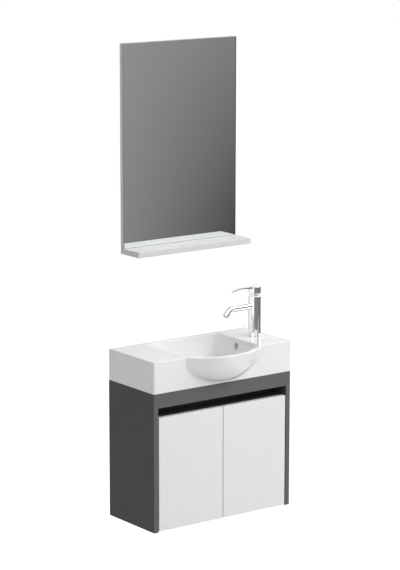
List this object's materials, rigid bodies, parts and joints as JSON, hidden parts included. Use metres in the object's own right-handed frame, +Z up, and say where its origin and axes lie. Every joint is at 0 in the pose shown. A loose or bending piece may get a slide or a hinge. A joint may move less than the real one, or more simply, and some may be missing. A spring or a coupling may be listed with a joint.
{
  "type": "vanity unit",
  "caption": "Wall-hung vanity: ceramic basin with a bulging bowl, side tap, grey cabinet with white doors and finger channel, and a wall mirror with a shelf.",
  "frame": {"origin": "middle of the line of the two wall screws of the cabinet's wall rail, on the wall plane y = 0", "axes": "+X to the right along the wall, seen from the room; +Y into the wall; -Y towards the room; +Z up"},
  "size_m": [0.6, 0.3449, 1.6795],
  "materials": {
    "carcass": "smooth dark grey laminate on board",
    "door_white": "smooth matt white lacquer on board",
    "board_white": "white laminate on board",
    "beech": "raw dowel",
    "basin_ceramic": "glossy white glaze",
    "chrome": "polished",
    "nickel": "nickel-plated steel",
    "zinc_steel": "zinc-plated steel",
    "brass": "machined",
    "mirror": "silvered float glass",
    "trap_plastic": "moulded white plastic",
    "hanger_plastic": "moulded",
    "cartridge_plastic": "moulded",
    "aerator_plastic": "moulded grey",
    "black_rubber": "matt",
    "clear_rubber": "soft translucent"
  },
  "bodies": {
    "unit": {"side_panel_left": "carcass", "side_panel_right": "carcass", "bottom_panel": "carcass", "front_rail": "carcass", "channel_floor": "carcass", "channel_back": "carcass", "top_rear_rail": "carcass", "bottom_rear_rail": "carcass", "inner_shelf": "carcass", "shelf_pins": "zinc_steel", "dowels": "beech", "door_bumpers": "clear_rubber", "wall_rail": "zinc_steel", "hanger_hooks": "zinc_steel", "hanger_screws": "zinc_steel", "cabinet_hangers": "hanger_plastic", "hinge_plates": "nickel", "hinge_arms": "nickel", "hinge_screws": "zinc_steel", "basin": "basin_ceramic", "waste_body": "chrome", "waste_gasket": "black_rubber", "waste_nut": "brass", "trap_union_nut": "trap_plastic", "trap_inlet_pipe": "trap_plastic", "trap_head": "trap_plastic", "trap_top_nut": "trap_plastic", "trap_ring": "trap_plastic", "trap_cup": "trap_plastic", "trap_outlet_pipe": "trap_plastic", "trap_outlet_nut": "trap_plastic", "tap_body": "chrome", "aerator": "aerator_plastic", "tap_gasket": "black_rubber", "tap_stud": "brass", "tap_washer": "zinc_steel", "tap_nut": "brass", "tap_cartridge": "cartridge_plastic", "cartridge_nut": "brass", "tap_collar": "chrome", "mirror_board": "board_white", "mirror_glass": "mirror", "mirror_shelf": "board_white", "mirror_shelf_screws": "zinc_steel", "mirror_hangers": "zinc_steel"},
    "door_left": {"door_left": "door_white", "hinge_cups_left": "nickel", "cup_screws_left": "zinc_steel"},
    "door_right": {"door_right": "door_white", "hinge_cups_right": "nickel", "cup_screws_right": "zinc_steel"},
    "plug": {"waste_plug": "chrome"},
    "mixer_core": {"tap_core": "cartridge_plastic", "pivot_pin": "zinc_steel"},
    "mixer_lever": {"tap_stem": "brass", "tap_lever": "chrome", "lever_screw": "zinc_steel"}
  },
  "joints": [
    {"name": "door_left_hinge", "type": "hinge", "parent": "unit", "child": "door_left", "pos_m": [-0.278, -0.275, -0.23], "axis": [0, 0, 1], "range_deg": [-95, 0]},
    {"name": "door_right_hinge", "type": "hinge", "parent": "unit", "child": "door_right", "pos_m": [0.278, -0.275, -0.23], "axis": [0, 0, 1], "range_deg": [0, 95]},
    {"name": "plug_slide", "type": "slide", "parent": "unit", "child": "plug", "axis": [0, 0, 1], "range_m": [0, 0.008]},
    {"name": "mixer_turn", "type": "hinge", "parent": "unit", "child": "mixer_core", "pos_m": [0.242, -0.139, 0.32], "axis": [0, 0, 1], "range_deg": [-45, 45]},
    {"name": "lever_lift", "type": "hinge", "parent": "mixer_core", "child": "mixer_lever", "pos_m": [0.242, -0.139, 0.323], "axis": [0, 1, 0], "range_deg": [0, 18]}
  ]
}
